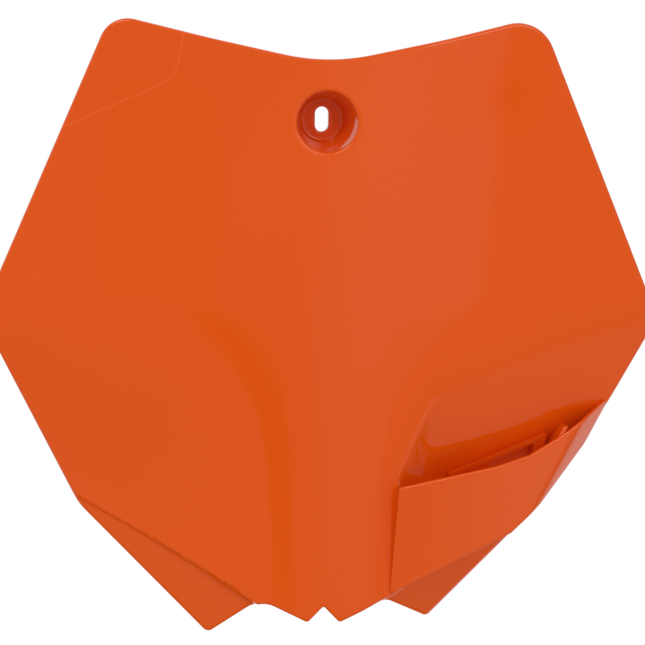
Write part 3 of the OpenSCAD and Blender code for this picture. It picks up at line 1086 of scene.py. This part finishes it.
@dataclass(frozen=True)
class MouldedPlastic:
    """Glossy polypropylene as it comes from a polished mould.

    Attributes:
        colour: Linear colour of the plastic.
        deep_colour: Linear colour of its slightly darker clouds.
        roughness: Roughness of the polished face.
        roughness_spread: How much the roughness varies.
        cloud_scale: Clouds to the metre.
        ripple_scale: Ripples of the mould to the metre.
        ripple_depth: Depth of the ripples in metres.
        index: Index of refraction.
        mark_low: A place on the raised line's long straight part, and its slope in degrees.
        mark_side: A place on the raised line's short upright part, and its slope in degrees.
        mark_bend: Softness of the raised line's bend.
        mark_w: Half the width of the raised line.
        mark_depth: Height of the raised line.
        highlight_colour: Linear colour of the raised line, lighter and whiter than the plastic: a painted
            highlight.
    """

    colour: tuple[float, float, float] = (0.81, 0.093, 0.0015)
    deep_colour: tuple[float, float, float] = (0.795, 0.090, 0.0012)
    roughness: float = 0.045
    roughness_spread: float = 0.015
    cloud_scale: float = 9.0
    ripple_scale: float = 40.0
    ripple_depth: float = 0.000006
    index: float = 1.49
    mark_low: tuple[float, float, float] = (-0.103, -0.0023, 24.0)
    mark_side: tuple[float, float, float] = (-0.0585, 0.0277, 82.0)
    mark_bend: float = 0.010
    mark_w: float = 0.0005
    mark_depth: float = 0.00003
    # Painted highlight: the raised line's colour is lighter and whiter than the plastic.
    highlight_colour: tuple[float, float, float] = (0.83, 0.118, 0.010)

    def material(self, name: str) -> bpy.types.Material:
        """Make the material.

        Args:
            name: Its name.

        Returns:
            The material.
        """
        material = bpy.data.materials.new(name)
        material.use_nodes = True
        make = NodeMaker(material.node_tree)
        place = make.node("ShaderNodeTexCoord", {}, out=3)
        clouds = make.node("ShaderNodeTexNoise", {}, place, Scale=self.cloud_scale, Detail=3.0)
        ripples = make.node("ShaderNodeTexNoise", {}, place, Scale=self.ripple_scale, Detail=2.0)
        mask = clouds.clamped(0.35, 0.65)
        colour = make.node("ShaderNodeMix", {"data_type": "RGBA"}, mask, out=2)
        mixer = colour.socket.node
        mixer.inputs[6].default_value = (*self.deep_colour, 1.0)
        mixer.inputs[7].default_value = (*self.colour, 1.0)
        # Painted highlight: the raised line near the top left corner is drawn in a lighter, whiter colour.
        highlight_line = self._highlight_line(make, place)
        highlighted = make.node("ShaderNodeMix", {"data_type": "RGBA"}, highlight_line, out=2)
        make.tree.links.new(colour.socket, highlighted.socket.node.inputs[6])
        highlighted.socket.node.inputs[7].default_value = (*self.highlight_colour, 1.0)
        height = ripples * self.ripple_depth + highlight_line * self.mark_depth
        bump = make.node("ShaderNodeBump", {}, Strength=1.0, Distance=1.0, Height=height)
        surface = make.node(
            "ShaderNodeBsdfPrincipled", {}, Base_Color=highlighted,
            Roughness=self.roughness + self.roughness_spread * (mask - 0.5),
            IOR=self.index, Normal=bump)
        make.node("ShaderNodeOutputMaterial", {}, surface)
        return material

    def _highlight_line(self, make: NodeMaker, place: Shade) -> Shade:
        """The fine raised line round the top left corner, whose lighter, whiter colour is a painted
        highlight.

        Args:
            make: Maker of the material's nodes.
            place: The place on the board.

        Returns:
            1 on the line's ridge, 0 off it.
        """
        parts = make.node("ShaderNodeSeparateXYZ", {}, place).socket.node
        x, z = Shade(make, parts.outputs[0]), Shade(make, parts.outputs[2])
        sides = []
        for at_x, at_z, slope in (self.mark_low, self.mark_side):
            turn = math.radians(slope)
            sides.append((x - at_x) * math.sin(turn) - (z - at_z) * math.cos(turn))
        off = make.node("ShaderNodeMath", {"operation": "SMOOTH_MAX"}, *sides, self.mark_bend)
        off = make.node("ShaderNodeMath", {"operation": "ABSOLUTE"}, off)
        return 1.0 - off.clamped(0.0, self.mark_w)


@dataclass
class NumberBoard:
    """The whole moulding."""

    form: BoardForm
    finish: MouldedPlastic
    smooth_angle: float = 32.0

    def build(self) -> bpy.types.Object:
        """Build the moulding as one closed skin and dress it."""
        board = BoardPanel(self.form).build()
        log.info("panel: %d faces", len(board.data.polygons))
        strap = HoseStrap(self.form).build()
        for solid in HoseFrame(self.form).build():
            combine(strap, solid, "UNION")
        log.info("strap and frame: %d faces", len(strap.data.polygons))
        combine(board, strap, "UNION")
        for lug in HoldingLugs(self.form).build():
            combine(board, lug, "UNION")
        board.name = board.data.name = "moulded_board"
        only(board)
        bpy.ops.object.shade_smooth_by_angle(angle=math.radians(self.smooth_angle))
        board.data.materials.clear()
        board.data.materials.append(self.finish.material("glossy_orange_plastic"))
        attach(board, BODY)
        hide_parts(NODE)
        log.info("moulded board: %d faces", len(board.data.polygons))
        return board


@dataclass(frozen=True)
class Patch:
    """A soft-edged patch of the room, in tangents to the right and up from straight ahead.

    Attributes:
        left: Its left edge.
        right: Its right edge.
        low: Its lower edge.
        high: Its upper edge.
        soft: Softness of its left, right, lower and upper edge.
        gain: How much it adds to the room's level.
        lean: How far its right edge leans to the right for each step up.
    """

    left: float
    right: float
    low: float
    high: float
    soft: tuple[float, float, float, float]
    gain: float
    lean: float = 0.0

    def level(self, across: Shade, up: Shade) -> Shade:
        """Level that the patch adds in a direction.

        Args:
            across: Tangent to the right.
            up: Tangent upwards.

        Returns:
            The added level.
        """
        left, right, low, high = self.soft
        return (across.clamped(self.left - left, self.left + left)
                * (1.0 - (across - up * self.lean).clamped(self.right - right, self.right + right))
                * up.clamped(self.low - low, self.low + low)
                * (1.0 - up.clamped(self.high - high, self.high + high)) * self.gain)


@dataclass(frozen=True)
class Room:
    """What the polished plastic mirrors: a grey room with panels, and dark things below the lens.

    Attributes:
        front: Level on the camera's side.
        behind: Level behind the board.
        side_dark: Share of the level that is missing at the far right.
        below_dark: Share of the level that is missing below.
        least_ahead: Least part of a direction that counts as straight ahead.
        turn: How far ahead a direction points where the room turns from behind to front.
        side_from: How far to the right it points where the far right starts and is full.
        below_from: How far down it points where the part below starts and is full.
        patches: Patches on the camera's side.
    """

    front: float = 0.33
    behind: float = 0.8
    side_dark: float = 0.6
    below_dark: float = 0.85
    least_ahead: float = 0.05
    turn: tuple[float, float] = (-0.25, 0.1)
    side_from: tuple[float, float] = (0.82, 0.9)
    below_from: tuple[float, float] = (0.66, 0.74)
    patches: tuple[Patch, ...] = (
        Patch(0.14, 0.318, 0.0, 9.0, (0.06, 0.010, 0.035, 1.0), 0.14, 0.7),
        Patch(0.14, 0.318, -0.06, 9.0, (0.06, 0.010, 0.02, 1.0), 0.13, 0.7),
        Patch(-0.035, 0.068, -0.036, 0.004, (0.015, 0.014, 0.008, 0.010), -0.20),
        Patch(0.09, 0.19, -0.1, -0.054, (0.02, 0.03, 0.01, 0.005), -0.24),
        Patch(-0.15, 0.0, 0.015, 0.072, (0.06, 0.06, 0.02, 0.006), -0.05),
        Patch(0.345, 0.43, 0.064, 0.079, (0.012, 0.015, 0.002, 0.002), -0.10),
        Patch(0.275, 0.40, 0.0645, 0.070, (0.012, 0.015, 0.0015, 0.0015), -0.22),
        Patch(0.69, 1.0, -0.42, 9.0, (0.03, 0.12, 0.1, 1.0), 0.5),
        Patch(0.6, 9.0, -9.0, -0.45, (0.1, 1.0, 1.0, 0.1), 0.14),
        Patch(-9.0, -0.45, -9.0, 9.0, (1.0, 0.15, 1.0, 1.0), 0.08),
    )

    def level(self, make: NodeMaker) -> Shade:
        """Level of the room in the direction that is looked up.

        Args:
            make: Maker of the world's nodes.

        Returns:
            The level.
        """
        way = make.node("ShaderNodeTexCoord", {}, out=0)
        parts = make.node("ShaderNodeSeparateXYZ", {}, way).socket.node
        x, y, z = (Shade(make, output) for output in parts.outputs)
        forward = make.node("ShaderNodeMath", {"operation": "MAXIMUM"}, y * -1.0,
                            self.least_ahead)
        across, up = x / forward, z / forward
        level = self.patches[0].level(across, up) + self.front
        for patch in self.patches[1:]:
            level = level + patch.level(across, up)
        ahead = (y * -1.0).clamped(*self.turn)
        level = level * ahead + self.behind * (1.0 - ahead)
        level = level * (1.0 - x.clamped(*self.side_from) * self.side_dark)
        return level * (1.0 - (z * -1.0).clamped(*self.below_from) * self.below_dark)


@dataclass
class Studio:
    """Camera, lamps and background.

    Attributes:
        azimuth: The camera's place round the board, in degrees.
        elevation: The camera's place above the horizon, in degrees.
        roll: The camera's roll, in degrees.
        distance: Distance of the camera.
        shift_x: How far the view is moved across.
        shift_z: How far the view is moved up.
        frame_w: Width that the frame takes in at the board.
        aim_rise: Rise of the place that the camera turns about.
        sensor_w: Width of the camera's sensor.
        ambient: Level of the plain light from all round.
        key_power: Power of the soft lamp at the upper left, in watts.
        key_size: Width and height of that lamp.
        key_place: Place of that lamp.
        fill_power: Power of the soft lamp at the right, in watts.
        fill_size: Width and height of that lamp.
        fill_place: Place of that lamp.
        aim_z: Height on the board that both lamps face.
        room: What the board mirrors.
    """

    azimuth: float = -7.63
    elevation: float = 5.84
    roll: float = -0.93
    distance: float = 1.978
    shift_x: float = -0.00026
    shift_z: float = 0.08128
    frame_w: float = 0.2578
    aim_rise: float = 0.003
    sensor_w: float = 36.0
    ambient: float = 0.705
    key_power: float = 25.0
    key_size: float = 1.4
    key_place: tuple[float, float, float] = (-0.9, -2.2, 2.4)
    fill_power: float = 7.0
    fill_size: float = 1.0
    fill_place: tuple[float, float, float] = (1.1, -2.6, 1.0)
    aim_z: float = -0.08
    room: Room = field(default_factory=Room)

    def build(self) -> None:
        """Set up everything round the board."""
        scene = bpy.context.scene
        scene.view_settings.view_transform = "Standard"
        self._camera()
        self._world()
        self._lamp("key_softbox", Vector(self.key_place), self.key_power, self.key_size)
        self._lamp("fill_softbox", Vector(self.fill_place), self.fill_power, self.fill_size)

    def _camera(self) -> None:
        """Place the camera as it stood for the photograph."""
        azimuth, elevation = math.radians(self.azimuth), math.radians(self.elevation)
        roll = math.radians(self.roll)
        to_camera = Vector((math.sin(azimuth) * math.cos(elevation),
                            -math.cos(azimuth) * math.cos(elevation), math.sin(elevation)))
        across = Vector((math.cos(azimuth), math.sin(azimuth), 0.0))
        upwards = to_camera.cross(across)
        right = across * math.cos(roll) - upwards * math.sin(roll)
        top = upwards * math.cos(roll) + across * math.sin(roll)
        place = (to_camera * self.distance - right * self.shift_x - top * self.shift_z
                 - Vector((0.0, self.aim_rise, 0.0)))
        data = bpy.data.cameras.new("camera")
        data.sensor_width = self.sensor_w
        data.lens = self.sensor_w * self.distance / self.frame_w
        camera = bpy.data.objects.new("camera", data)
        bpy.context.scene.collection.objects.link(camera)
        turn = Matrix((right, top, to_camera)).transposed().to_4x4()
        camera.matrix_world = Matrix.Translation(place) @ turn
        bpy.context.scene.camera = camera

    def _world(self) -> None:
        """A white background, a grey room for mirrored light and plain light for the rest."""
        world = bpy.data.worlds.new("studio")
        bpy.context.scene.world = world
        world.use_nodes = True
        make = NodeMaker(world.node_tree)
        path = make.node("ShaderNodeLightPath", {}, out=0).socket.node
        camera, glossy, clear = (Shade(make, path.outputs[name]) for name in (
            "Is Camera Ray", "Is Glossy Ray", "Is Transmission Ray"))
        mirrored = make.node("ShaderNodeMath", {"operation": "MAXIMUM"}, glossy, clear)
        level = self.room.level(make) * mirrored + self.ambient * (1.0 - mirrored)
        level = level * (1.0 - camera) + camera
        light = make.node("ShaderNodeBackground", {}, (1.0, 1.0, 1.0, 1.0), level)
        make.node("ShaderNodeOutputWorld", {}, light)

    def _lamp(self, name: str, place: Vector, power: float, size: float) -> None:
        """Add a soft lamp that faces the board.

        Args:
            name: Its name.
            place: Its place.
            power: Its power in watts.
            size: Its width and height.
        """
        data = bpy.data.lights.new(name, "AREA")
        data.energy, data.shape, data.size = power, "SQUARE", size
        lamp = bpy.data.objects.new(name, data)
        bpy.context.scene.collection.objects.link(lamp)
        lamp.location = place
        lamp.rotation_mode = "QUATERNION"
        aim = Vector((0.0, 0.0, self.aim_z)) - place
        lamp.rotation_quaternion = aim.to_track_quat("-Z", "Y")


def main() -> None:
    """Build the board and the studio in order."""
    logging.basicConfig(level=logging.INFO, format="%(name)s: %(message)s")
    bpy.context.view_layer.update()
    Studio().build()
    NumberBoard(BoardForm(), MouldedPlastic()).build()


if __name__ == "__main__":
    main()
